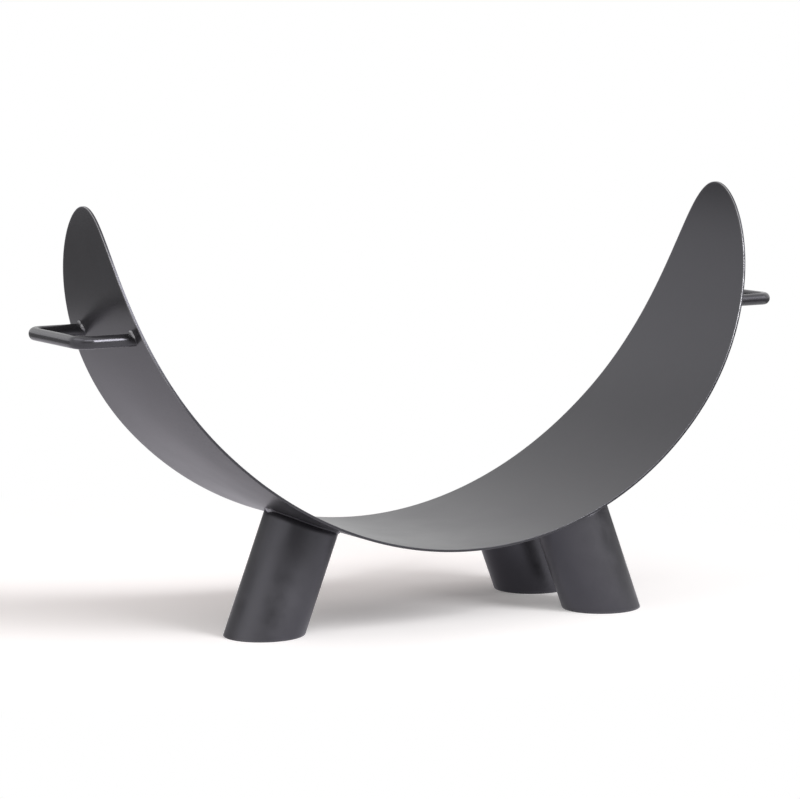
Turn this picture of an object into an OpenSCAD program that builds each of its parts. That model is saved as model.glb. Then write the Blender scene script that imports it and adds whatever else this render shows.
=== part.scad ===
// Log cradle in welded, powder coated steel.
// A sheet with an oval outline is rolled into a trough, stands on three splayed tube feet and is
// carried by a bent round bar at each end.
// X runs from tip to tip, Y from front to back and Z up. The origin lies on the floor, under the
// middle of the trough. All sizes are in millimetres and degrees.

/* [Trough sheet] */
// Thickness of the sheet
sheet_t = 2.5; // [2:0.5:4]
// Width of the flat blank at its middle
blank_w = 224; // [218:2:300]
// Fullness of the blank's outline, where 2 is a plain ellipse
blank_fullness = 2.4; // [2:0.1:3]
// Radius of the belly, to the middle of the sheet
belly_r = 390; // [360:5:460]
// Angle of the belly's arc on each side of the lowest line
belly_angle = 45; // [38:1:50]
// Radius of each raised end, to the middle of the sheet
end_r = 320; // [280:5:380]
// Angle that each raised end adds to the belly's
end_angle = 45; // [38:1:48]
// Clear height between the floor and the lowest line of the sheet
belly_clear = 83; // [60:1:140]

/* [Tube feet] */
// Outer diameter of the tube
tube_d = 76.1; // [60.3:0.1:80]
// Wall of the tube
tube_wall = 2; // [1.5:0.5:4]
// Lean of each tube from the vertical, towards the middle
leg_lean = 21.5; // [12:0.5:28]
// Distance from the middle to a tube's axis at the floor
foot_x = 180; // [150:1:200]
// Spacing of the two right-hand tubes, axis to axis
pair_spacing = 124; // [100:1:130]

/* [Handles] */
// Diameter of the round bar
bar_d = 12; // [8:1:14]
// Spacing of a handle's two legs, axis to axis
handle_spacing = 106; // [80:1:124]
// Distance from the sheet to the grip's axis, along a handle's leg
handle_reach = 54; // [42:1:80]
// Radius of the bar's bends, to its axis
handle_bend_r = 14; // [10:1:24]
// Distance from the sheet's tip down its outer face to the handle
handle_from_tip = 124; // [100:1:170]

/* [Welds] */
// Leg length of the fillet round a tube
leg_weld = 3; // [2:0.5:6]
// Leg length of the fillet round a handle's leg
handle_weld = 3; // [2:0.5:4]

/* [Hidden] */

// Powder coat, and the same coat over weld metal
COAT = "#4b4b4e";
COAT_LEG = "#454548";
COAT_BAR = "#3f4042";
COAT_WELD = "#58585b";
LEFT = -1;
RIGHT = 1;
FRONT = -1;
BACK = 1;

// Facets of round pieces, stations along half the sheet's edge, and facets of the fillets
round_fn = 96;
edge_steps = 48;
leg_weld_steps = 72;
handle_weld_steps = 32;
weld_face_steps = 3;
// How full a fillet's face is, where 1 is a flat face and 2 a round one
weld_fullness = 1.35;
// Play between a fillet and the faces that it joins, so that its flats stay outside them
weld_seat = 0.06;
// How far a cutting body runs past what it cuts
overrun = 3;
// Angle that the belly's arc runs on into each raised end, so that the two become one sheet
arc_lap = 0.02;

// Outer faces of the belly and of the raised ends
belly_outer_r = belly_r + sheet_t/2;
end_outer_r = end_r + sheet_t/2;
// Arc centres, in the plane of the section
belly_z = belly_clear + belly_outer_r;
end_x = (belly_r - end_r)*sin(belly_angle);
end_z = belly_z - (belly_r - end_r)*cos(belly_angle);
tip_angle = belly_angle + end_angle;
// Lengths along the middle of the sheet, from the lowest line
belly_len = belly_r*belly_angle*PI/180;
blank_half_len = belly_len + end_r*end_angle*PI/180;

// Where a handle's leg meets the sheet's outer face, and its grip's axis
handle_angle = tip_angle - handle_from_tip/end_outer_r*180/PI;
handle_root_x = end_x + end_outer_r*sin(handle_angle);
handle_z = end_z - end_outer_r*cos(handle_angle);
grip_x = handle_root_x + handle_reach;

// Length that covers any tube, and a block that covers the whole part
leg_stock = belly_z/cos(leg_lean);
block = 4*belly_r;

// Angle of the sheet at a length s from its lowest line
function sheet_angle(s) = s <= belly_len
    ? s/belly_r*180/PI
    : belly_angle + (s - belly_len)/end_r*180/PI;

// Point on the section at angle a, offset outwards from the middle of the sheet, on the right side
function section_point(a, offset) = a <= belly_angle
    ? [(belly_r + offset)*sin(a), belly_z - (belly_r + offset)*cos(a)]
    : [end_x + (end_r + offset)*sin(a), end_z - (end_r + offset)*cos(a)];

// Station i of the blank's outline: its length along the sheet and its half width
function station_s(i) = blank_half_len*pow(sin(90*i/edge_steps), 2/blank_fullness);
function station_w(i) = blank_w/2*cos(90*i/edge_steps);

// The four points of the cutting body at station i, from the inside front round to the outside front
function station_points(i, margin) =
    let(a = sheet_angle(station_s(abs(i))), side = i < 0 ? LEFT : RIGHT, w = station_w(i),
        p = section_point(a, -margin), q = section_point(a, margin))
    [[side*p[0], -w, p[1]], [side*p[0], w, p[1]], [side*q[0], w, q[1]], [side*q[0], -w, q[1]]];

// The two points at a tip, inside and outside
function tip_points(side, margin) =
    let(p = section_point(tip_angle, -margin), q = section_point(tip_angle, margin))
    [[side*p[0], 0, p[1]], [side*q[0], 0, q[1]]];

// Distance along a line, from p in direction d, to the near side of a circle with centre c
function run_to_circle(p, d, c, r) = let(q = p - c, b = q*d) -b - sqrt(b*b - q*q + r*r);

// The blank's outline as a body that stands square to the sheet all along its cut edge
module blank_outline() {
    margin = sheet_t/2 + overrun;
    last = 2*(edge_steps - 1);
    points = [
        for (i = [1 - edge_steps : edge_steps - 1]) each station_points(i, margin),
        each tip_points(LEFT, margin),
        each tip_points(RIGHT, margin)
    ];
    left_tip = 4*(last + 1);
    right_tip = left_tip + 2;
    end = 4*last;
    faces = [
        for (i = [0 : last - 1], k = [0 : 3])
            let(a = 4*i + k, b = 4*i + (k + 1)%4, c = b + 4, d = a + 4)
            each [[a, b, c], [a, c, d]],
        [1, 0, left_tip], [3, 2, left_tip + 1],
        [0, 3, left_tip], [3, left_tip + 1, left_tip],
        [2, 1, left_tip], [2, left_tip, left_tip + 1],
        [end, end + 1, right_tip], [end + 2, end + 3, right_tip + 1],
        [end + 3, end, right_tip], [end + 3, right_tip, right_tip + 1],
        [end + 1, end + 2, right_tip], [end + 2, right_tip + 1, right_tip]
    ];
    polyhedron(points = points, faces = faces);
}

// A round body along Y, at a point of the section
module roll(x, z, r, length) {
    translate([x, length/2, z]) rotate([90, 0, 0]) cylinder(r = r, h = length, $fn = 2*round_fn);
}

// A wedge of the section plane, from angle a to angle b on the right, as a body along Y
module section_wedge(x, z, a, b, r, length) {
    translate([x, length/2, z]) rotate([90, 0, 0]) linear_extrude(height = length)
        polygon([[0, 0], [r*sin(a), -r*cos(a)], [r*sin((a + b)/2), -r*cos((a + b)/2)], [r*sin(b), -r*cos(b)]]);
}

// One arc of the sheet, before its outline is cut
module rolled_arc(x, z, r, a, b) {
    length = blank_w + 2*overrun;
    intersection() {
        difference() {
            roll(x, z, r + sheet_t/2, length);
            roll(x, z, r - sheet_t/2, length + 2*overrun);
        }
        section_wedge(x, z, a, b, 2*r, length + overrun);
    }
}

module trough_sheet() {
    color(COAT) intersection() {
        union() {
            rolled_arc(0, belly_z, belly_r, -belly_angle - arc_lap, belly_angle + arc_lap);
            rolled_arc(end_x, end_z, end_r, belly_angle, tip_angle);
            mirror([1, 0, 0]) rolled_arc(end_x, end_z, end_r, belly_angle, tip_angle);
        }
        blank_outline();
    }
}

// Round stock along a tube's axis, from below the floor to inside the trough
module leg_bar(side, y, d) {
    translate([side*foot_x, y, 0]) rotate([0, -side*leg_lean, 0]) translate([0, 0, -tube_d])
        cylinder(d = d, h = tube_d + leg_stock/2, $fn = round_fn);
}

// A tube foot: its top is cut to the belly's outer face, and its bottom flat to the floor
module tube_leg(side, y) {
    color(COAT_LEG) difference() {
        leg_bar(side, y, tube_d);
        leg_bar(side, y, tube_d - 2*tube_wall);
        roll(0, belly_z, belly_outer_r, block);
        translate([-block/2, -block/2, -block]) cube(block);
    }
}

// A fillet round a bar or tube of radius r that runs from p in direction d, both in the section
// plane, to the outer face of an arc with centre c and radius arc_r
module fillet_ring(p, d, y, r, c, arc_r, bead, steps) {
    e = [d[1], -d[0]];
    inner = r + weld_seat;
    corner = [[0, 0]];
    face = [for (k = [0 : weld_face_steps]) let(a = 90*k/weld_face_steps)
        [bead*pow(cos(a), 2/weld_fullness), bead*pow(sin(a), 2/weld_fullness)]];
    profile = concat(corner, face);
    count = len(profile);
    points = [
        for (i = [0 : steps - 1], k = [0 : count - 1])
            let(turn = 360*i/steps,
                out = inner + profile[k][0],
                foot = p + out*cos(turn)*e,
                run = run_to_circle(foot, d, c, arc_r + weld_seat) - profile[k][1],
                at = foot + run*d)
            [at[0], y + out*sin(turn), at[1]]
    ];
    faces = [
        for (i = [0 : steps - 1], k = [0 : count - 1])
            let(next = (i + 1)%steps, a = i*count + k, b = i*count + (k + 1)%count,
                c1 = next*count + (k + 1)%count, d1 = next*count + k)
            each [[a, c1, b], [a, d1, c1]]
    ];
    color(COAT_WELD) polyhedron(points = points, faces = faces);
}

module leg_fillet(side, y) {
    fillet_ring(p = [side*foot_x, 0], d = [-side*sin(leg_lean), cos(leg_lean)], y = y, r = tube_d/2,
        c = [0, belly_z], arc_r = belly_outer_r, bead = leg_weld, steps = leg_weld_steps);
}

module handle_fillet(side, end) {
    fillet_ring(p = [side*grip_x, handle_z], d = [-side, 0], y = end*handle_spacing/2, r = bar_d/2,
        c = [side*end_x, end_z], arc_r = end_outer_r, bead = handle_weld, steps = handle_weld_steps);
}

// Half of the right-hand handle: one leg, its bend and half of the grip
module handle_half() {
    straight_x = grip_x - handle_bend_r;
    straight_y = handle_spacing/2 - handle_bend_r;
    root_x = handle_root_x - bar_d;
    translate([root_x, handle_spacing/2, 0]) rotate([0, 90, 0])
        cylinder(d = bar_d, h = straight_x - root_x, $fn = round_fn);
    translate([straight_x, straight_y, 0]) rotate_extrude(angle = 90, $fn = round_fn)
        translate([handle_bend_r, 0]) circle(d = bar_d, $fn = round_fn);
    translate([grip_x, straight_y, 0]) rotate([90, 0, 0])
        cylinder(d = bar_d, h = straight_y, $fn = round_fn);
}

// A handle, its leg ends cut to the raised end's outer face
module bar_handle(side) {
    color(COAT_BAR) mirror([side == LEFT ? 1 : 0, 0, 0]) difference() {
        translate([0, 0, handle_z]) union() {
            handle_half();
            mirror([0, 1, 0]) handle_half();
        }
        roll(end_x, end_z, end_outer_r, block);
    }
}

module left_leg() { tube_leg(LEFT, 0); }
module front_right_leg() { tube_leg(RIGHT, FRONT*pair_spacing/2); }
module back_right_leg() { tube_leg(RIGHT, BACK*pair_spacing/2); }
module left_leg_weld() { leg_fillet(LEFT, 0); }
module front_right_leg_weld() { leg_fillet(RIGHT, FRONT*pair_spacing/2); }
module back_right_leg_weld() { leg_fillet(RIGHT, BACK*pair_spacing/2); }
module left_handle() { bar_handle(LEFT); }
module right_handle() { bar_handle(RIGHT); }
module left_handle_front_weld() { handle_fillet(LEFT, FRONT); }
module left_handle_back_weld() { handle_fillet(LEFT, BACK); }
module right_handle_front_weld() { handle_fillet(RIGHT, FRONT); }
module right_handle_back_weld() { handle_fillet(RIGHT, BACK); }

trough_sheet();
left_leg();
front_right_leg();
back_right_leg();
left_leg_weld();
front_right_leg_weld();
back_right_leg_weld();
left_handle();
right_handle();
left_handle_front_weld();
left_handle_back_weld();
right_handle_front_weld();
right_handle_back_weld();
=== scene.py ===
# %% [markdown]
# A log holder in coated steel, modelled as its maker would build it.
#
# The real object is one oval steel sheet that was cut flat and then rolled into a trough. Three
# short tubes are welded under it as feet, and a bent round bar is welded to each raised end as a
# handle. Everything then gets one coat of satin anthracite powder.
#
# The lesson builds each of those pieces as a mesh around the measured frame, then makes the coat as
# a few shader groups, and ends with a pale floor and soft light. All lengths are in metres: X runs
# from tip to tip, Y from front to back and Z up from the floor.

# %% Load the measured frame
import bmesh
import bpy
import math
import random
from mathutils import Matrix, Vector, noise


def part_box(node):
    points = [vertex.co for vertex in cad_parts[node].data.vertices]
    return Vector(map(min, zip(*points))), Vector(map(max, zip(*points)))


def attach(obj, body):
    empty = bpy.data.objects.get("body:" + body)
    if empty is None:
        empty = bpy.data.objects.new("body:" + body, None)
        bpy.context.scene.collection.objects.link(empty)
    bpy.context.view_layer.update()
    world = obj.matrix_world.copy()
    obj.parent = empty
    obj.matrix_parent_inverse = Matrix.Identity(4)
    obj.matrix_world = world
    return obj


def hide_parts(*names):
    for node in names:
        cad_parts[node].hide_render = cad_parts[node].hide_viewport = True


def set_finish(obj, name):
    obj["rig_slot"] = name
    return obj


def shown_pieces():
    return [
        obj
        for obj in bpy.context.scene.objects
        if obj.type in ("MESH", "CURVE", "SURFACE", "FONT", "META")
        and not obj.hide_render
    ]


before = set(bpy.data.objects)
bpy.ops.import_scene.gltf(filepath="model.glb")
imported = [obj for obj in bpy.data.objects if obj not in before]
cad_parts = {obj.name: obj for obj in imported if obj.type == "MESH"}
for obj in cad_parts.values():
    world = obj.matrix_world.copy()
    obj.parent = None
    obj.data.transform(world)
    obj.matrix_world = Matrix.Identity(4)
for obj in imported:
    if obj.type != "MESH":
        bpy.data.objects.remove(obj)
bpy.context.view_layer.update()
MM = 0.001
print("nodes in the frame:", len(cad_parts))

# %% [markdown]
# The camera comes first, because every later choice is judged through it. A long lens from far away
# keeps the trough's two ends nearly the same size, as in a catalogue picture. The place and the
# turn of the camera could be found by eye, but here they come from matching the outline of the
# sheet, the feet and the handles, which leaves them within about a pixel of the picture.

# %% Place the camera
CAMERA_AT = Vector((-1.635, -2.564, 0.6148))
CAMERA_TURN = math.radians(32.15)
CAMERA_TILT = math.radians(-7.42)
CAMERA_LENS_MM = 138.3
CAMERA_REACH = 400.0

camera_data = bpy.data.cameras.new("view_camera")
camera_data.lens = CAMERA_LENS_MM
camera_data.clip_end = CAMERA_REACH
camera = bpy.data.objects.new("view_camera", camera_data)
camera.location = CAMERA_AT
camera.rotation_euler = (math.pi/2 + CAMERA_TILT, 0.0, -CAMERA_TURN)
bpy.context.scene.collection.objects.link(camera)
bpy.context.scene.camera = camera
print("camera stands", round(CAMERA_AT.length, 3), "m from the middle of the floor")

# %% [markdown]
# The sizes of the sheet follow from its box in the frame. What a box can't tell is how the section
# is rolled, so the sheet's thickness, the belly's radius and the belly's angle are named here. The
# radius of the two raised ends then has only one value that fits the box: the ends carry on from
# the belly without a kink, and their tips stand upright. The outline's fullness came from the
# contours in the picture.

# %% Sizes of the rolled sheet
SHEET_T = 2.5*MM
BELLY_R = 390*MM
BELLY_ANGLE = math.radians(45)
OUTLINE_FULLNESS = 2.4

sheet_low, sheet_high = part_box("trough_sheet")
BLANK_HALF_W = (sheet_high.y - sheet_low.y)/2
BELLY_Z = sheet_low.z + BELLY_R + SHEET_T/2
END_R = (sheet_high.x - SHEET_T/2 - BELLY_R*math.sin(BELLY_ANGLE))/(1 - math.sin(BELLY_ANGLE))
END_X = (BELLY_R - END_R)*math.sin(BELLY_ANGLE)
END_Z = BELLY_Z - (BELLY_R - END_R)*math.cos(BELLY_ANGLE)
BELLY_LEN = BELLY_R*BELLY_ANGLE
BLANK_HALF_LEN = BELLY_LEN + END_R*(math.pi/2 - BELLY_ANGLE)
print("radius of the raised ends:", round(END_R/MM, 2), "mm")
print("length of the flat blank:", round(2*BLANK_HALF_LEN/MM, 1), "mm")
print("tips against the frame:", round((END_Z - sheet_high.z)/MM, 3), "mm apart")

# %% [markdown]
# Rolling is a change of coordinates. A point of the flat blank has a length s along the sheet, a
# place y across it and a height h above its middle, and the roll turns s into an angle round the
# belly or round a raised end. Bending a finished flat mesh with a Simple Deform modifier would also
# work, but only for one radius. A function handles both radii, and the same function later tells
# the feet, the handles and the welds where the sheet's outer face is.

# %% Roll a point of the blank
def rolled(s, y, h):
    """The place of a blank's point: s along the sheet, y across it, h outwards from its middle."""
    side = -1 if s < 0 else 1
    run = abs(s)
    if run <= BELLY_LEN:
        angle = run/BELLY_R
        centre_x, centre_z, radius = 0.0, BELLY_Z, BELLY_R + h
    else:
        angle = BELLY_ANGLE + (run - BELLY_LEN)/END_R
        centre_x, centre_z, radius = END_X, END_Z, END_R + h
    return Vector((side*(centre_x + radius*math.sin(angle)), y, centre_z - radius*math.cos(angle)))


print("lowest point of the outer face:", [round(v/MM, 2) for v in rolled(0, 0, SHEET_T/2)])

# %% [markdown]
# Most pieces here are lofts: rows of points with faces between them. One helper builds them all. It
# can close the rows on themselves, as round a tube, and it can close the last row to the first, as
# along a ring. A named value per point can be stored with the mesh, and the coat's material reads
# it later to know where a cut edge is and where a glint is painted.

# %% A loft through rows of points
MERGE_DISTANCE = 0.001*MM


def loft(name, rows, rows_close=True, ends_close=False, marks=None):
    """A smooth mesh through rows of equally many points, with an optional mark for each point."""
    mesh_maker = bmesh.new()
    mark_layer = mesh_maker.verts.layers.float.new("thin_coat_and_glint")
    grid = []
    for i, row in enumerate(rows):
        line = [mesh_maker.verts.new(point) for point in row]
        for j, vertex in enumerate(line):
            vertex[mark_layer] = marks[i][j] if marks else 0.0
        grid.append(line)
    row_count = len(grid)
    for i in range(row_count if ends_close else row_count - 1):
        near, far = grid[i], grid[(i + 1) % row_count]
        for j in range(len(near) if rows_close else len(near) - 1):
            k = (j + 1) % len(near)
            mesh_maker.faces.new((near[j], near[k], far[k], far[j]))
    bmesh.ops.remove_doubles(mesh_maker, verts=mesh_maker.verts, dist=MERGE_DISTANCE)
    bmesh.ops.recalc_face_normals(mesh_maker, faces=mesh_maker.faces)
    mesh = bpy.data.meshes.new(name)
    mesh_maker.to_mesh(mesh)
    mesh_maker.free()
    mesh.shade_smooth()
    piece = bpy.data.objects.new(name, mesh)
    bpy.context.scene.collection.objects.link(piece)
    return piece


def fit(piece, node, slot):
    """The piece stands for a node of the frame, moves with it and takes its finish from a slot."""
    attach(piece, "root")
    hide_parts(node)
    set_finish(piece, slot)
    print(piece.name, "has", len(piece.data.polygons), "faces")


# %% [markdown]
# The sheet starts as a flat oval blank. Its outline is a little fuller than an ellipse, and a
# formula gives its half width at each station. The blank could be a flat polygon with a Solidify
# and a Bevel modifier, but the thin cut edge is what catches the light in the picture, so it is
# built on purpose: a profile with two softened corners runs round the whole outline, and two close
# rows inside it keep the broad faces flat right up to the edge.

# %% The blank's outline
STATIONS = 320
EDGE_ROUND = 0.45*MM
EDGE_ROUND_STEPS = 4
HOLD_INSET = 0.8*MM
WEAR_INSET = 2.6*MM
FACE_COLUMNS = 14


def outline_point(turn):
    """Length along the blank and half width, for a turn from -90 to 90 degrees."""
    side = -1 if turn < 0 else 1
    along = BLANK_HALF_LEN*abs(math.sin(turn))**(2/OUTLINE_FULLNESS)
    return side*along, BLANK_HALF_W*math.cos(turn)


def outline_normal(turn):
    """The outward direction of the outline, as parts along the blank and across it."""
    step = 1e-4
    start = outline_point(max(turn - step, -math.pi/2))
    end = outline_point(min(turn + step, math.pi/2))
    along, across = end[0] - start[0], end[1] - start[1]
    size = math.hypot(along, across)
    return -across/size, along/size


tip_turn = math.pi/2
turns = [tip_turn*i/STATIONS for i in range(-STATIONS, STATIONS + 1)]
print("outline normal at the middle:", [round(v, 3) for v in outline_normal(0.0)])
print("outline normal near a tip:", [round(v, 3) for v in outline_normal(tip_turn - 0.01)])

# %% Profile of the cut edge
COAT_BACK = 0.10*MM
HOLD_MARK = 0.15


def edge_profile():
    """Inset, height and mark of thin coat and painted glint round the cut edge, inner to outer face."""
    half = SHEET_T/2
    profile = [(WEAR_INSET, -half, 0.0), (HOLD_INSET, -half, HOLD_MARK)]
    for k in range(EDGE_ROUND_STEPS + 1):
        a = math.pi/2*k/EDGE_ROUND_STEPS
        profile.append((EDGE_ROUND*(1 - math.sin(a)), -half + EDGE_ROUND*(1 - math.cos(a)), 1.0))
    profile.append((0.0, -half + EDGE_ROUND + COAT_BACK, 0.0))
    mirrored = [(inset, -height, mark) for inset, height, mark in reversed(profile)]
    return profile + mirrored


PROFILE = edge_profile()
print("points across the cut edge:", len(PROFILE))

# %% [markdown]
# The cut edge carries a painted highlight: a bright line, painted as a lighter and partly metallic
# tone, on the corner that faces left, high on both raised ends, while the other corner, the flat of
# the cut and the belly's edge stay dark. It stands in for a lamp's glint on that corner. So each
# corner's painted glint is kept or faded by where it is and which way it faces. Painting the mark
# by hand would work on one mesh, but a rule follows the sheet if its size changes.

# %% Build the rolled sheet
# Where the painted glint on the cut edge's corners is kept and where it fades.
GLINT_TURN_FADE = 100*MM
GLINT_AWAY_LOSS = 0.9
RAISED_FROM = 335*MM
RAISED_FADE = 90*MM
BELLY_SHARE = 0.15


def painted_glint_share(s, height):
    """How much of a corner's painted glint stays: most high on the raised ends, where the corner faces
    left.
    """
    facing = max(-1.0, min(1.0, s/GLINT_TURN_FADE))*math.copysign(1.0, height)
    raised = max(BELLY_SHARE, min(1.0, (abs(s) - RAISED_FROM)/RAISED_FADE))
    return raised*(1.0 - GLINT_AWAY_LOSS*max(0.0, facing))


def face_points(start, end):
    """The points between two edges of a broad face, straight across the sheet."""
    steps = range(1, FACE_COLUMNS)
    return [(start[0], start[1] + (end[1] - start[1])*k/FACE_COLUMNS, start[2], 0.0) for k in steps]


def station_row(turn):
    """One closed row round the sheet at a station, with its marks of thin coat and painted glint."""
    s, half_w = outline_point(turn)
    along, across = outline_normal(turn)
    if abs(turn) >= tip_turn:
        along, across = math.copysign(1.0, turn), 0.0
    front = []
    for inset, h, mark in PROFILE:
        front.append((s - inset*along, -(half_w - inset*across), h, mark*painted_glint_share(s, h)))
    back = [(p_s, -p_y, h, mark) for p_s, p_y, h, mark in reversed(front)]
    outer = face_points(front[-1], back[0])
    inner = face_points(back[-1], front[0])
    row = front + outer + back + inner
    return [rolled(p_s, p_y, h) for p_s, p_y, h, _ in row], [mark for _, _, _, mark in row]


station_rows = [station_row(turn) for turn in turns]
sheet = loft("rolled_sheet", [row for row, _ in station_rows], marks=[marks for _, marks in station_rows])
fit(sheet, "trough_sheet", "sheet_coat")
print("sheet box:", [round(v/MM, 2) for v in sheet.dimensions])

# %% [markdown]
# Each foot is a length of round tube. Its top is a saddle cut that sits on the sheet's outer face,
# and its bottom is cut flat to the floor at the angle of its lean. A cylinder with two Boolean cuts
# would give the same form with untidy faces. Here each line along the tube simply runs from where
# it meets the floor to where it meets the belly, so all faces stay long and even, and the sawn rims
# get a small softened corner.

# %% Sizes of the tube feet
TUBE_WALL = 2*MM
LEG_LEAN = math.radians(21.5)
RIM_ROUND = 0.6*MM
RIM_STEPS = 4
TUBE_STEPS = 144
TUBE_SHARES = (1.0, 0.94, 0.6, 0.25)
SADDLE_SINK = 0.05*MM

LEGS = {"left_leg": -1, "front_right_leg": 1, "back_right_leg": 1}
leg_low, leg_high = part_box("left_leg")
TUBE_R = (leg_high.y - leg_low.y)/2
FOOT_X = -leg_low.x - TUBE_R/math.cos(LEG_LEAN)
BELLY_OUTER_R = BELLY_R + SHEET_T/2
print("tube diameter:", round(2*TUBE_R/MM, 2), "mm, foot centre", round(FOOT_X/MM, 2), "mm out")

# %% Where a line along a tube starts and ends
def leg_axes(side):
    """Directions of a leaning tube: along it, and across it in the plane of the section."""
    lean = side*LEG_LEAN
    return Vector((-math.sin(lean), 0, math.cos(lean))), Vector((math.cos(lean), 0, math.sin(lean)))


def leg_point(side, y, radius, turn, run):
    """A point at a radius and a turn round a tube's axis, at a run along it from the floor."""
    along, across = leg_axes(side)
    centre = Vector((side*FOOT_X, y, 0))
    return centre + radius*(math.cos(turn)*across + math.sin(turn)*Vector((0, 1, 0))) + run*along


def floor_run(side, radius, turn):
    """The run along a tube at which a line on it meets the floor."""
    along, across = leg_axes(side)
    return -radius*math.cos(turn)*across.z/along.z


def belly_run(side, radius, turn, offset):
    """The run along a tube at which a line on it meets the belly, offset outwards."""
    along, across = leg_axes(side)
    start = Vector((side*FOOT_X, 0, 0)) + radius*math.cos(turn)*across - Vector((0, 0, BELLY_Z))
    b = start.dot(along)
    return -b - math.sqrt(b*b - start.length_squared + (BELLY_OUTER_R + offset)**2)


print("outer line of a tube:", round(belly_run(1, TUBE_R, 0, 0)/MM, 1), "mm above the foot's centre")

# %% Build the three feet
def tube_rows(side, y):
    """Rows round a tube: down its outside, round the sawn rim, and up its inside."""
    inner_r = TUBE_R - TUBE_WALL
    rows, marks = [], []
    for i in range(TUBE_STEPS):
        turn = math.tau*i/TUBE_STEPS
        low, high = floor_run(side, TUBE_R, turn), belly_run(side, TUBE_R, turn, -SADDLE_SINK)
        line = [(TUBE_R, low + (high - low)*share, 0.0) for share in TUBE_SHARES]
        line.append((TUBE_R, low + WEAR_INSET, 0.0))
        for k in range(RIM_STEPS + 1):
            a = math.pi/2*k/RIM_STEPS
            radius = TUBE_R - RIM_ROUND*(1 - math.cos(a))
            line.append((radius, floor_run(side, radius, turn) + RIM_ROUND*(1 - math.sin(a)), 1.0))
        for k in range(RIM_STEPS + 1):
            a = math.pi/2*k/RIM_STEPS
            radius = inner_r + RIM_ROUND*(1 - math.sin(a))
            line.append((radius, floor_run(side, radius, turn) + RIM_ROUND*(1 - math.cos(a)), 1.0))
        line.append((inner_r, floor_run(side, inner_r, turn) + WEAR_INSET, 0.0))
        line.append((inner_r, belly_run(side, inner_r, turn, -SADDLE_SINK), 0.0))
        rows.append([leg_point(side, y, radius, turn, run) for radius, run, _ in line])
        marks.append([mark for _, _, mark in line])
    return rows, marks


for node, side in LEGS.items():
    low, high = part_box(node)
    rows, marks = tube_rows(side, (low.y + high.y)/2)
    foot = loft("tube_" + node, rows, ends_close=True, marks=marks)
    fit(foot, node, "tube_coat")

# %% [markdown]
# A handle is one round bar, bent twice over a former and welded on by both ends. A curve with a
# round bevel is the quickest way to draw it, but bending a solid bar leaves its section slightly
# oval in the bends, and the two ends are cut to the sheet's curve. So the bar is swept ring by ring: a
# ring of points is set square to the path at each station and pressed oval only in the bends.

# %% Sizes of the handles
BEND_R = 14*MM
BAR_STEPS = 48
BEND_STEPS = 18
BEND_OVAL = 0.035
STRAIGHT_STEPS = 8

bar_low, bar_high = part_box("right_handle")
BAR_R = (bar_high.z - bar_low.z)/2
HANDLE_Z = (bar_high.z + bar_low.z)/2
HANDLE_HALF = (bar_high.y - bar_low.y)/2 - BAR_R
GRIP_X = bar_high.x - BAR_R
END_OUTER_R = END_R + SHEET_T/2
ROOT_X = END_X + math.sqrt(END_OUTER_R**2 - (HANDLE_Z - END_Z)**2)
print("bar diameter:", round(2*BAR_R/MM, 2), "mm, reach", round((GRIP_X - ROOT_X)/MM, 2), "mm")

# %% The path of the bar
def bar_path():
    """Stations along the right handle: place, direction in the level plane, and share of bend."""
    stations = []
    straight_x = GRIP_X - BEND_R
    for k in range(STRAIGHT_STEPS):
        x = ROOT_X + (straight_x - ROOT_X)*k/STRAIGHT_STEPS
        stations.append((x, HANDLE_HALF, 0.0, 0.0))
    for k in range(BEND_STEPS + 1):
        a = math.pi/2*k/BEND_STEPS
        x = straight_x + BEND_R*math.sin(a)
        y = HANDLE_HALF - BEND_R*(1 - math.cos(a))
        stations.append((x, y, -a, math.sin(math.pi*k/BEND_STEPS)))
    half = list(stations)
    for k in range(1, STRAIGHT_STEPS):
        y = (HANDLE_HALF - BEND_R)*(1 - 2*k/STRAIGHT_STEPS)
        stations.append((GRIP_X, y, -math.pi/2, 0.0))
    stations += [(x, -y, -math.pi - heading, bend) for x, y, heading, bend in reversed(half)]
    return stations


def end_face_x(up):
    """Where a line of the bar, this far above its middle, meets the raised end's outer face."""
    return END_X + math.sqrt(END_OUTER_R**2 - (HANDLE_Z + up - END_Z)**2)


print("stations along the bar:", len(bar_path()))

# %% Build the two handles
def bar_rows(side):
    """Rings of points along the bar, with both ends cut to the sheet."""
    rows = []
    path = bar_path()
    last = len(path) - 1
    for i, (x, y, heading, bend) in enumerate(path):
        ring = []
        for j in range(BAR_STEPS):
            turn = math.tau*j/BAR_STEPS
            across = BAR_R*math.cos(turn)*(1 - BEND_OVAL*bend)
            up = BAR_R*math.sin(turn)*(1 + BEND_OVAL*bend)
            px = x - across*math.sin(heading)
            if i in (0, last):
                px = end_face_x(up) - SADDLE_SINK
            ring.append(Vector((side*px, y + across*math.cos(heading), HANDLE_Z + up)))
        rows.append(ring)
    return rows


for side, node in ((-1, "left_handle"), (1, "right_handle")):
    bar = loft("bent_bar_" + node, bar_rows(side))
    fit(bar, node, "bar_coat")

# %% [markdown]
# The welds show as a thin line round each tube and as a small bright lump on each bar end. The
# welder lays a run of overlapping drops into the corner. A good run is slightly hollow across, with
# fine ripples along it, and it stands proud only where it starts or stops. Displacement in a
# material would be lost in the exported mesh, so the hollow, the ripples and the lumps are all moved
# into the points of the ring, and a seeded noise makes each run differ. The lumps also carry the
# mark of a thin coat, because melting powder runs off them, and the same mark paints a highlight on
# them as a lighter, partly metallic tone.

# %% The shape of a bead
BEAD_POINTS = 9
BEAD_SINK = 0.35*MM
HOLLOW = 0.85
BULGE = 1.7


def bead_profile(across, fullness):
    """Share of the bead's size away from the tube and away from the sheet, across its face."""
    a = math.pi/2*across
    return math.cos(a)**(2/fullness), math.sin(a)**(2/fullness)


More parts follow.
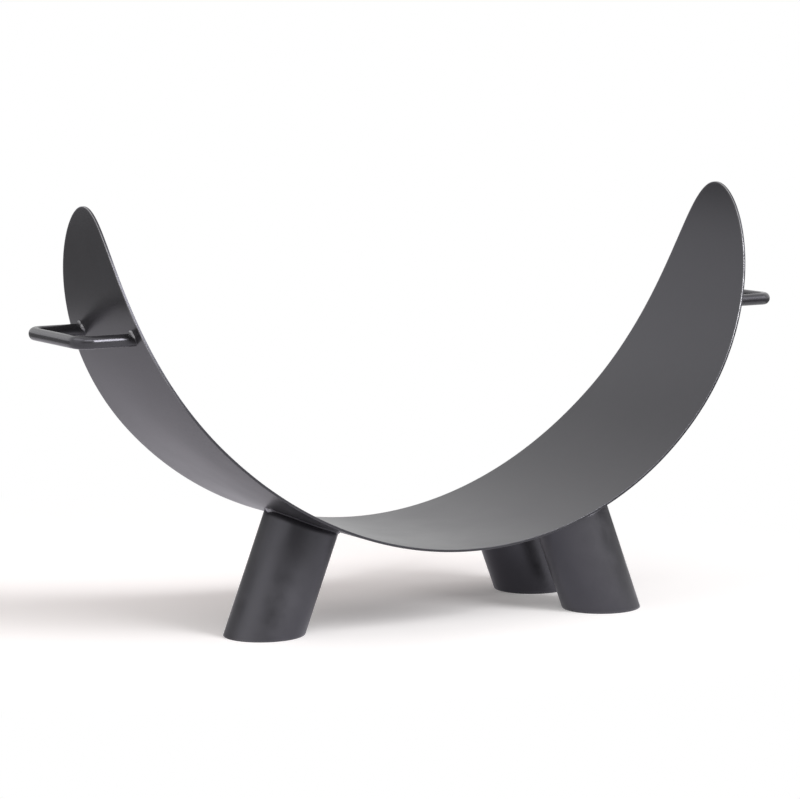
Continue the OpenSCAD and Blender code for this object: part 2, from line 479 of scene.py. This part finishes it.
def bead_swell(turn, lumps):
    """How much the lumps add at a turn. A lump has a turn, a width, and its growth out and along."""
    more_out, more_up = 0.0, 0.0
    for lump_turn, width, out, up in lumps:
        gap = abs((turn - lump_turn + math.pi) % math.tau - math.pi)
        share = math.exp(-(gap/width)**2)
        more_out += out*share
        more_up += up*share
    return more_out, more_up


print("points across a bead:", BEAD_POINTS + 1)

# %% The ripples of a bead
GRIT = 0.30
DROP_LAG = 0.55
DROP_ROUND = 0.7
DROP_MEAN = 0.6
SLOW_TURNS = 2.2
SLOW_ACROSS = 0.6
FINE_TURNS = 9
FINE_ACROSS = 3
SEED_SPAN = 50
random.seed(7)


def bead_size(turn, across, seed, lump, drops, ripple, wander, under):
    """Size factor of a bead at a turn round it: drops, a slow wander and a slim underside."""
    lag = DROP_LAG*math.sin(math.pi*across)
    crest = abs(math.sin(math.pi*(drops*turn/math.tau + lag)))**DROP_ROUND
    around = Vector((math.cos(turn), math.sin(turn), 0.0))
    slow = noise.noise(around*SLOW_TURNS + Vector((seed, 0, across*SLOW_ACROSS)))
    fine = noise.noise(around*FINE_TURNS + Vector((seed, 0, across*FINE_ACROSS)))
    slim = under*(0.5 - 0.5*math.sin(turn))
    return 1 + ripple*(crest - DROP_MEAN) + wander*slow - slim + GRIT*lump*fine


def bead_ring(name, steps, place, lumps, **look):
    """A closed ring with the bead's section, placed by a function of turn, out and up."""
    seed = random.uniform(0, SEED_SPAN)
    rows, marks = [], []
    for i in range(steps):
        turn = math.tau*i/steps
        more_out, more_up = bead_swell(turn, lumps)
        lump = min(1.0, more_out)
        row = [place(turn, -BEAD_SINK, -BEAD_SINK)]
        for k in range(BEAD_POINTS):
            across = k/(BEAD_POINTS - 1)
            out, up = bead_profile(across, HOLLOW + (BULGE - HOLLOW)*lump)
            size = bead_size(turn, across, seed, lump, **look)
            row.append(place(turn, out*(size + more_out), up*(size + more_up)))
        rows.append(row)
        # The lump's mark thins the coat and paints a lighter highlight on the lump.
        marks.append([lump**2]*len(row))
    return loft(name, rows, ends_close=True, marks=marks)


dip = bead_size(0.0, 0.0, 0, 0, drops=1, ripple=1, wander=0, under=0)
print("size factor where two drops meet, at full ripple:", round(dip, 3))

# %% Build the welds of the feet
LEG_BEAD = 1.2*MM
LEG_BEAD_STEPS = 560
LEG_BEAD_LOOK = {"drops": 78, "ripple": 0.05, "wander": 0.25, "under": 0.0}
LEG_WELD_LUMPS = {
    "left_leg": [(3.1, 0.17, 1.5, 1.9), (5.45, 0.12, 1.3, 1.3), (0.9, 0.15, 1.2, 1.2)],
    "front_right_leg": [(5.4, 0.14, 1.3, 1.3), (2.3, 0.13, 1.2, 1.2)],
    "back_right_leg": [(1.2, 0.16, 1.5, 1.5), (4.1, 0.13, 1.2, 1.2)],
}


def leg_bead_place(side, y):
    """Where a bead's point lies round a tube: out from the tube, up means down from the sheet."""
    def place(turn, out, up):
        radius = TUBE_R + (out if out < 0 else out*LEG_BEAD)
        drop = up if up < 0 else up*LEG_BEAD
        return leg_point(side, y, radius, turn, belly_run(side, radius, turn, 0) - drop)
    return place


for node, lumps in LEG_WELD_LUMPS.items():
    low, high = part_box(node)
    place = leg_bead_place(LEGS[node], (low.y + high.y)/2)
    bead = bead_ring("bead_" + node, LEG_BEAD_STEPS, place, lumps=lumps, **LEG_BEAD_LOOK)
    fit(bead, node + "_weld", "weld_coat")

# %% Build the welds of the handles
BAR_BEAD = 0.9*MM
BAR_BEAD_STEPS = 260
BAR_BEAD_LOOK = {"drops": 11, "ripple": 0.12, "wander": 0.25, "under": 0.50}
# For each weld: the side of the trough, the end of the bar, and its lumps.
BAR_WELDS = {
    "left_handle_front_weld": (-1, -1, [(2.1, 0.55, 4.2, 2.4)]),
    "left_handle_back_weld": (-1, 1, [(1.9, 0.42, 3.4, 2.0), (2.75, 0.36, 2.4, 2.4)]),
    "right_handle_front_weld": (1, -1, [(1.7, 0.5, 3.4, 2.0)]),
    "right_handle_back_weld": (1, 1, [(1.4, 0.5, 3.4, 2.0)]),
}


def bar_bead_place(side, end):
    """Where a bead's point lies round a bar end: out from the bar, up along it from the sheet."""
    def place(turn, out, up):
        radius = BAR_R + (out if out < 0 else out*BAR_BEAD)
        rise = up if up < 0 else up*BAR_BEAD
        y = radius*math.cos(turn)
        z = radius*math.sin(turn)
        return Vector((side*(end_face_x(z) + rise), end*HANDLE_HALF + y, HANDLE_Z + z))
    return place


for node, (side, end, lumps) in BAR_WELDS.items():
    place = bar_bead_place(side, end)
    bead = bead_ring("bead_" + node, BAR_BEAD_STEPS, place, lumps=lumps, **BAR_BEAD_LOOK)
    fit(bead, node, "weld_coat")

# %% [markdown]
# The finish is powder coat: resin dust that is baked into a skin about a tenth of a millimetre
# thick. It has three things a flat colour lacks. It has a very fine grain, it lies in faint waves
# like orange peel, and its tone drifts slowly over a large face. All four coated materials need
# them, so they are one shader group with its sizes as inputs.

# %% Helpers for shader groups
def new_group(name, inputs, outputs):
    """A shader group with float inputs, given as name and value, and float outputs."""
    group = bpy.data.node_groups.new(name, "ShaderNodeTree")
    for label, value in inputs.items():
        socket = group.interface.new_socket(name=label, in_out="INPUT", socket_type="NodeSocketFloat")
        socket.default_value = value
    for label in outputs:
        group.interface.new_socket(name=label, in_out="OUTPUT", socket_type="NodeSocketFloat")
    entry = group.nodes.new("NodeGroupInput")
    leave = group.nodes.new("NodeGroupOutput")
    return group, entry.outputs, leave.inputs


def add(tree, kind, **settings):
    """A new shader node with its settings."""
    node = tree.nodes.new("ShaderNode" + kind)
    for key, value in settings.items():
        setattr(node, key, value)
    return node


def feed(tree, socket, value):
    """Gives a socket a plain value or a link from another socket."""
    if isinstance(value, bpy.types.NodeSocket):
        tree.links.new(value, socket)
    else:
        socket.default_value = value


def sums(tree, operation, a, b=0.0):
    """A Math node's result."""
    node = add(tree, "Math", operation=operation)
    feed(tree, node.inputs[0], a)
    feed(tree, node.inputs[1], b)
    return node.outputs[0]


def ramp(tree, value, low, high):
    """A value brought from a range to 0 to 1, with soft ends."""
    node = add(tree, "MapRange", interpolation_type="SMOOTHSTEP")
    for key, number in (("Value", value), ("From Min", low), ("From Max", high)):
        feed(tree, node.inputs[key], number)
    return node.outputs["Result"]


def cloud(tree, place, size, detail=2.0, roughness=0.5):
    """Noise with lumps of about one size, in metres, at a place."""
    node = add(tree, "TexNoise")
    feed(tree, node.inputs["Vector"], place)
    scale = sums(tree, "DIVIDE", 1.0, size) if isinstance(size, bpy.types.NodeSocket) else 1.0/size
    feed(tree, node.inputs["Scale"], scale)
    node.inputs["Detail"].default_value = detail
    node.inputs["Roughness"].default_value = roughness
    return node.outputs["Fac"]


print("shader groups so far:", len(bpy.data.node_groups))

# %% Shader group for the powder's grain
DRIFT_RANGE = (0.3, 0.7)


def make_powder_group():
    """Grain, waves and slow drift of a powder coat, as a height and two tone values."""
    inputs = {"Grain Size": 0.7*MM, "Wave Size": 3.5*MM, "Drift Size": 120*MM, "Wave Share": 0.6}
    group, given, result = new_group("powder_coat", inputs, ["Height", "Grain", "Drift"])
    place = add(group, "TexCoord").outputs["Object"]
    grain = cloud(group, place, given["Grain Size"], detail=3.0, roughness=0.6)
    waves = cloud(group, place, given["Wave Size"], detail=1.0)
    drift = cloud(group, place, given["Drift Size"], detail=3.0, roughness=0.55)
    wave_part = sums(group, "MULTIPLY", waves, given["Wave Share"])
    grain_part = sums(group, "MULTIPLY", grain, sums(group, "SUBTRACT", 1.0, given["Wave Share"]))
    feed(group, result["Height"], sums(group, "ADD", wave_part, grain_part))
    feed(group, result["Grain"], grain)
    feed(group, result["Drift"], ramp(group, drift, *DRIFT_RANGE))
    return group


powder_group = make_powder_group()
print("powder group has", len(powder_group.nodes), "nodes")

# %% [markdown]
# Powder is drawn away from sharp corners while it melts, so the coat is thin on a cut edge and on
# the lumps of a weld. There it is smoother, and some of the bare steel shines through. The same mark
# also paints highlights: a lighter, partly metallic tone that stands for the glint on the sheet's
# left-facing corners and on the weld lumps. Such places are often found from the angle between
# faces, but that also catches bends that were never cut. Here the meshes carry a mark where the
# edges are, and this group breaks it up with noise so that the line isn't even.

# %% Shader group for the thin coat and painted glint on cut edges
BREAK_RANGE = (0.35, 0.65)


def make_edge_group():
    """How thin the coat is, and where a glint is painted: the stored mark of a cut edge, broken up by
    noise.
    """
    inputs = {"Break Size": 14*MM, "Break Amount": 0.3}
    group, given, result = new_group("thin_edge_and_glint", inputs, ["Thin"])
    mark = add(group, "Attribute", attribute_name="thin_coat_and_glint").outputs["Fac"]
    place = add(group, "TexCoord").outputs["Object"]
    broken = cloud(group, place, given["Break Size"])
    loss = sums(group, "MULTIPLY", ramp(group, broken, *BREAK_RANGE), given["Break Amount"])
    feed(group, result["Thin"], sums(group, "MULTIPLY", mark, sums(group, "SUBTRACT", 1.0, loss)))
    return group


edge_group = make_edge_group()
print("edge group has", len(edge_group.nodes), "nodes")

# %% [markdown]
# A hearth piece gathers a little dust and gets faint rub marks from use. Dust lies only on what
# faces up, so its mask starts from the surface's normal. The marks are long thin streaks, made from
# noise that is stretched along the trough. Both are kept very weak, since the picture shows a new
# article.

# %% Shader group for dust and rub marks
UPWARD_RANGE = (0.35, 0.95)
SPECK_RANGE = (0.4, 0.75)
STREAK_RANGE = (0.66, 0.74)
PATCH_RANGE = (0.5, 0.62)


def make_use_group():
    """Masks for dust on upward faces and for fine rub marks."""
    inputs = {"Dust Size": 9*MM, "Mark Length": 60*MM, "Mark Width": 0.8*MM, "Patch Size": 110*MM}
    group, given, result = new_group("signs_of_use", inputs, ["Dust", "Marks"])
    place = add(group, "TexCoord").outputs["Object"]
    normal = add(group, "NewGeometry").outputs["Normal"]
    parts = add(group, "SeparateXYZ")
    feed(group, parts.inputs[0], normal)
    speck = cloud(group, place, given["Dust Size"], detail=6.0, roughness=0.7)
    lie = ramp(group, parts.outputs["Z"], *UPWARD_RANGE)
    feed(group, result["Dust"], sums(group, "MULTIPLY", lie, ramp(group, speck, *SPECK_RANGE)))
    stretch = add(group, "CombineXYZ")
    feed(group, stretch.inputs[0], sums(group, "DIVIDE", 1.0, given["Mark Length"]))
    feed(group, stretch.inputs[1], sums(group, "DIVIDE", 1.0, given["Mark Width"]))
    feed(group, stretch.inputs[2], sums(group, "DIVIDE", 1.0, given["Mark Length"]))
    scaled = add(group, "VectorMath", operation="MULTIPLY")
    feed(group, scaled.inputs[0], place)
    feed(group, scaled.inputs[1], stretch.outputs[0])
    streak = cloud(group, scaled.outputs[0], 1.0)
    where = ramp(group, cloud(group, place, given["Patch Size"]), *PATCH_RANGE)
    feed(group, result["Marks"], sums(group, "MULTIPLY", ramp(group, streak, *STREAK_RANGE), where))
    return group


use_group = make_use_group()
print("use group has", len(use_group.nodes), "nodes")

# %% [markdown]
# The four materials share the groups and differ in their values. The broad sheet is satin and
# even, with a painted glint on its cut edges. The tubes are a little rougher and their tone drifts in
# smaller patches. The bars are bright drawn steel under the coat and shine more. A weld's run is
# dull, and only its lumps, which are part bare and carry a painted highlight, catch the light. One
# material with a mask for each piece would also do, but four let each piece be tuned by itself.
#
# The colour, the roughness and the bump all come from the groups. The shader itself stays in the
# material, with its gloss index and its faint violet tint as plain values on its own sockets.
#
# Away from thin corners and lumps, the roughness of each coat stays on one side of 0.274. Where it
# wanders across that value on a smooth face, the renderer's noise filter changes its guide and
# leaves worm-like specks.

# %% The recipe of a coat
DARKEST = 0.82
LIGHTEST = 1.16
GRAIN_SHARE = 0.25
THIN_SMOOTHS = 0.15
DUST_DULLS = 0.01
# A lighter tone for bare steel and for the painted glint on corners and weld lumps.
BARE_AND_GLINT_TONE = (0.50, 0.50, 0.51, 1.0)
MARK_TONE = (0.07, 0.07, 0.07, 1.0)
MARK_SHARE = 0.06
DUST_TONE = (0.10, 0.095, 0.09, 1.0)
DUST_SHARE = 0.04
RELIEF = 0.017*MM


def mixed(tree, share, first, second):
    """One colour faded into another by a share."""
    node = add(tree, "Mix", data_type="RGBA")
    feed(tree, node.inputs["Factor"], share)
    feed(tree, node.inputs["A"], first)
    feed(tree, node.inputs["B"], second)
    return node.outputs["Result"]


def coat_material(name, tone, tint, rough, gloss_index, patchy, drift_size, bare_and_glint):
    """A powder coated steel, from its tone, its roughness and the size of each effect."""
    material = bpy.data.materials.new(name)
    material.use_nodes = True
    tree = material.node_tree
    tree.nodes.clear()
    shader = add(tree, "BsdfPrincipled")
    output = add(tree, "OutputMaterial")
    feed(tree, output.inputs["Surface"], shader.outputs[0])
    powder = add(tree, "Group", node_tree=powder_group)
    powder.inputs["Drift Size"].default_value = drift_size
    edge = add(tree, "Group", node_tree=edge_group)
    use = add(tree, "Group", node_tree=use_group)

    dark = tuple(c*DARKEST for c in tone) + (1.0,)
    light = tuple(c*LIGHTEST for c in tone) + (1.0,)
    colour = mixed(tree, powder.outputs["Drift"], dark, light)
    colour = mixed(tree, sums(tree, "MULTIPLY", powder.outputs["Grain"], GRAIN_SHARE), colour, light)
    # Painted glint and bare steel: the marked places turn to the lighter tone.
    colour = mixed(tree, sums(tree, "MULTIPLY", edge.outputs["Thin"], bare_and_glint), colour, BARE_AND_GLINT_TONE)
    colour = mixed(tree, sums(tree, "MULTIPLY", use.outputs["Marks"], MARK_SHARE), colour, MARK_TONE)
    colour = mixed(tree, sums(tree, "MULTIPLY", use.outputs["Dust"], DUST_SHARE), colour, DUST_TONE)
    feed(tree, shader.inputs["Base Color"], colour)

    gloss = sums(tree, "MULTIPLY_ADD", powder.outputs["Drift"], patchy)
    gloss.node.inputs[2].default_value = rough
    gloss = sums(tree, "SUBTRACT", gloss, sums(tree, "MULTIPLY", edge.outputs["Thin"], THIN_SMOOTHS))
    gloss = sums(tree, "ADD", gloss, sums(tree, "MULTIPLY", use.outputs["Dust"], DUST_DULLS))
    feed(tree, shader.inputs["Roughness"], gloss)
    # The painted glint is also partly metallic.
    feed(tree, shader.inputs["Metallic"], sums(tree, "MULTIPLY", edge.outputs["Thin"], bare_and_glint))

    relief = add(tree, "Bump")
    relief.inputs["Strength"].default_value = 1.0
    relief.inputs["Distance"].default_value = RELIEF
    feed(tree, relief.inputs["Height"], powder.outputs["Height"])
    feed(tree, shader.inputs["Normal"], relief.outputs["Normal"])
    shader.inputs["IOR"].default_value = gloss_index
    shader.inputs["Specular Tint"].default_value = tint
    return material


print("tones run from", DARKEST, "to", LIGHTEST, "of the written one, relief", RELIEF/MM, "mm")

# %% The four coats
SHEET_TONE = (0.022, 0.0215, 0.023)
TUBE_TONE = (0.020, 0.0195, 0.021)
SHEET_TINT = (0.88, 0.87, 1.0, 1.0)
TUBE_TINT = (0.91, 0.895, 1.0, 1.0)
FINISHES = {
    "sheet_coat": coat_material(
        "satin_sheet", SHEET_TONE, SHEET_TINT,
        rough=0.278, gloss_index=1.49, patchy=0.05, drift_size=120*MM, bare_and_glint=0.60),
    "tube_coat": coat_material(
        "satin_tube", TUBE_TONE, TUBE_TINT,
        rough=0.30, gloss_index=1.73, patchy=0.12, drift_size=24*MM, bare_and_glint=0.08),
    "bar_coat": coat_material(
        "satin_bar", TUBE_TONE, TUBE_TINT,
        rough=0.22, gloss_index=1.60, patchy=0.04, drift_size=24*MM, bare_and_glint=0.08),
    "weld_coat": coat_material(
        "satin_weld", SHEET_TONE, TUBE_TINT,
        rough=0.34, gloss_index=1.50, patchy=0.06, drift_size=12*MM, bare_and_glint=0.60),
}
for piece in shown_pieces():
    if "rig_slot" in piece:
        piece.data.materials.clear()
        piece.data.materials.append(FINISHES[piece["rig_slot"]])

# %% [markdown]
# The floor is a plain white sheet that runs out of the picture. It could be lit until it turns
# white, but that would wash out the dark coat. Instead the floor's own colour is white, and a
# little of its light is added only for what the camera and the reflections see, so the shadow
# under the object stays. Outside an oval round the shadow it turns to plain white. The reflections
# see the near floor a little greyer than the camera does, as the floor of a real studio is before
# the picture is brightened. Seen from below the floor is clear, which lets the underside be looked
# at.

# %% The floor's material
FLOOR_SEEN = (1.0, 0.98, 0.965, 1.0)
FLOOR_MIRRORED = (0.74, 0.732, 0.782, 1.0)
LIFT_SEEN = (0.135, 0.133, 0.131, 1.0)
LIFT_MIRRORED = (0.18, 0.178, 0.190, 1.0)
SHADE_AT = (-0.19, 0.31, 0.0)
SHADE_SIZE = (0.62, 0.40, 1.0)
SHADE_NEAR = 0.6
SHADE_FAR = 1.5


def seen_ray(tree):
    """1 for what the camera, a reflection or a refraction sees, else 0."""
    path = add(tree, "LightPath")
    seen = sums(tree, "MAXIMUM", path.outputs["Is Camera Ray"], path.outputs["Is Glossy Ray"])
    return sums(tree, "MAXIMUM", seen, path.outputs["Is Transmission Ray"])


def shaders_mixed(tree, share, first, second):
    """The first shader where the share is 0, the second where it is 1."""
    node = add(tree, "MixShader")
    feed(tree, node.inputs[0], share)
    feed(tree, node.inputs[1], first)
    feed(tree, node.inputs[2], second)
    return node.outputs[0]


def floor_material():
    """White floor with a soft shadow near the object, plain white further out."""
    material = bpy.data.materials.new("studio_floor")
    material.use_nodes = True
    tree = material.node_tree
    tree.nodes.clear()
    output = add(tree, "OutputMaterial")
    matt = add(tree, "BsdfDiffuse")
    by_camera = add(tree, "LightPath").outputs["Is Camera Ray"]
    feed(tree, matt.inputs["Color"], mixed(tree, by_camera, FLOOR_MIRRORED, FLOOR_SEEN))
    lift = add(tree, "Emission")
    feed(tree, lift.inputs["Color"], mixed(tree, by_camera, LIFT_MIRRORED, LIFT_SEEN))
    near = add(tree, "AddShader")
    feed(tree, near.inputs[0], matt.outputs[0])
    feed(tree, near.inputs[1], lift.outputs[0])
    white = add(tree, "Emission")
    oval = add(tree, "Mapping", vector_type="TEXTURE")
    oval.inputs["Location"].default_value = SHADE_AT
    oval.inputs["Rotation"].default_value = (0.0, 0.0, -CAMERA_TURN)
    oval.inputs["Scale"].default_value = SHADE_SIZE
    feed(tree, oval.inputs["Vector"], add(tree, "TexCoord").outputs["Object"])
    far_share = add(tree, "VectorMath", operation="LENGTH")
    feed(tree, far_share.inputs[0], oval.outputs["Vector"])
    away = ramp(tree, far_share.outputs["Value"], SHADE_NEAR, SHADE_FAR)
    shown = shaders_mixed(tree, away, near.outputs[0], white.outputs[0])
    by_ray = shaders_mixed(tree, seen_ray(tree), matt.outputs[0], shown)
    from_below = add(tree, "NewGeometry").outputs["Backfacing"]
    clear = add(tree, "BsdfTransparent").outputs[0]
    feed(tree, output.inputs["Surface"], shaders_mixed(tree, from_below, by_ray, clear))
    return material


floor_look = floor_material()
print("floor material has", len(floor_look.node_tree.nodes), "nodes")

# %% The floor
FLOOR_HALF = 60.0

corners = [(x*FLOOR_HALF, y*FLOOR_HALF, 0.0) for x, y in ((-1, -1), (1, -1), (1, 1), (-1, 1))]
floor_mesh = bpy.data.meshes.new("floor")
floor_mesh.from_pydata(corners, [], [(0, 1, 2, 3)])
floor_mesh.materials.append(floor_look)
floor = bpy.data.objects.new("floor", floor_mesh)
bpy.context.scene.collection.objects.link(floor)
print("floor is", 2*FLOOR_HALF, "m wide")

# %% [markdown]
# The light is a plain studio set of six soft lamps. The key stands at the right and throws the
# shadow to the left, as in the picture, and a weak lamp beside it softens the shadow's edge. A wide
# lamp high at the left, with a weak low one under it, draws the second pale band down each tube. The
# front lamp lights the faces that lean towards the camera, and the back lamp keeps the rear clear.
# Sun and sky would be quicker to set, but only lamps of a real size give soft bands like these.

# %% The lamps
LAMP_AIM = Vector((0, 0, 0.2))
COOL_WHITE = (0.98, 0.98, 1.0)
PLAIN_WHITE = (1.0, 1.0, 1.0)


def from_camera(turn):
    """A level direction at a turn round the object, measured in degrees from the camera to the right."""
    to_camera = Vector((CAMERA_AT.x, CAMERA_AT.y, 0)).normalized()
    right = Vector((-to_camera.y, to_camera.x, 0))
    return math.cos(math.radians(turn))*to_camera + math.sin(math.radians(turn))*right


def soft_lamp(name, colour, power, turn, height, distance, size):
    """A rectangular lamp that looks at the object, with its turn and height in degrees."""
    rise = math.radians(height)
    direction = from_camera(turn)*math.cos(rise) + Vector((0, 0, math.sin(rise)))
    data = bpy.data.lights.new(name, "AREA")
    data.shape = "RECTANGLE"
    data.size, data.size_y = size
    data.energy = power
    data.color = colour
    lamp = bpy.data.objects.new(name, data)
    lamp.location = LAMP_AIM + direction*distance
    lamp.rotation_euler = (-direction).to_track_quat("-Z", "Y").to_euler()
    bpy.context.scene.collection.objects.link(lamp)
    print(name, "stands at", [round(v, 2) for v in lamp.location])


soft_lamp("key_lamp", COOL_WHITE, 316, turn=55, height=29, distance=6.0, size=(2.4, 2.8))
soft_lamp("side_lamp", COOL_WHITE, 37, turn=92, height=27, distance=6.0, size=(2.4, 2.8))
soft_lamp("left_lamp", PLAIN_WHITE, 78, turn=-60, height=50, distance=6.4, size=(5.5, 2.7))
soft_lamp("low_left_lamp", PLAIN_WHITE, 8.5, turn=-52, height=21, distance=6.4, size=(3.2, 3.0))
soft_lamp("front_lamp", PLAIN_WHITE, 72, turn=8, height=42, distance=6.0, size=(3.6, 1.7))
soft_lamp("back_lamp", PLAIN_WHITE, 26, turn=-118, height=20, distance=6.0, size=(5.0, 3.6))

# %% [markdown]
# A satin coat is drawn by what it mirrors. In an all white room every part of it would be pale, so
# a studio sets grey cards round such an object. Four cards do that here: one low at the
# back left, which darkens the upper part of the left face, two at the front between the lamps,
# which put the dark band down the tubes, and one low at the right. Only reflections see them.

# %% The grey cards
CARD_STEP = 6


def grey_card(name, turns, distance, tall, grey):
    """A curved standing card that only reflections see."""
    start, end = turns
    count = max(1, round((end - start)/CARD_STEP))
    points, faces = [], []
    for k in range(count + 1):
        foot = from_camera(start + (end - start)*k/count)*distance
        points += [foot, foot + Vector((0, 0, tall))]
    for k in range(count):
        faces.append((2*k, 2*k + 2, 2*k + 3, 2*k + 1))
    mesh = bpy.data.meshes.new(name)
    mesh.from_pydata(points, [], faces)
    material = bpy.data.materials.new(name)
    material.use_nodes = True
    material.node_tree.nodes.clear()
    glow = add(material.node_tree, "Emission")
    glow.inputs["Strength"].default_value = grey
    output = add(material.node_tree, "OutputMaterial")
    feed(material.node_tree, output.inputs["Surface"], glow.outputs[0])
    mesh.materials.append(material)
    card = bpy.data.objects.new(name, mesh)
    card.visible_camera = False
    card.visible_diffuse = False
    card.visible_shadow = False
    card.visible_transmission = False
    bpy.context.scene.collection.objects.link(card)
    print(name, "is", round(math.radians(end - start)*distance, 2), "m wide")


grey_card("card_back_left", turns=(-155, -80), distance=1.05, tall=0.42, grey=0.31)
grey_card("card_front", turns=(-24, 36), distance=4.4, tall=2.2, grey=0.365)
grey_card("card_low", turns=(36, 64), distance=4.4, tall=1.45, grey=0.52)
grey_card("card_right", turns=(78, 152), distance=0.85, tall=0.3, grey=0.20)

# %% [markdown]
# The room stands for the light that walls and ceiling send back. It gives an even grey fill, so no
# side of the object falls into black, and only the camera and the reflections see it as white. The
# fill is slightly warm, as the picture's shadow is.

# %% The room
ROOM_FILL = 0.33
FILL_COLOUR = (1.0, 0.91, 0.91, 1.0)


def light_room():
    """An even grey fill, seen as white by the camera and the reflections."""
    world = bpy.data.worlds.new("room")
    bpy.context.scene.world = world
    world.use_nodes = True
    tree = world.node_tree
    tree.nodes.clear()
    output = add(tree, "OutputWorld")
    fill = add(tree, "Background")
    fill.inputs["Color"].default_value = FILL_COLOUR
    fill.inputs["Strength"].default_value = ROOM_FILL
    white = add(tree, "Background")
    white.inputs["Color"].default_value = (1.0, 1.0, 1.0, 1.0)
    by_ray = shaders_mixed(tree, seen_ray(tree), fill.outputs[0], white.outputs[0])
    feed(tree, output.inputs["Surface"], by_ray)


light_room()
bpy.context.scene.view_settings.view_transform = "Standard"
print("room fill:", ROOM_FILL)
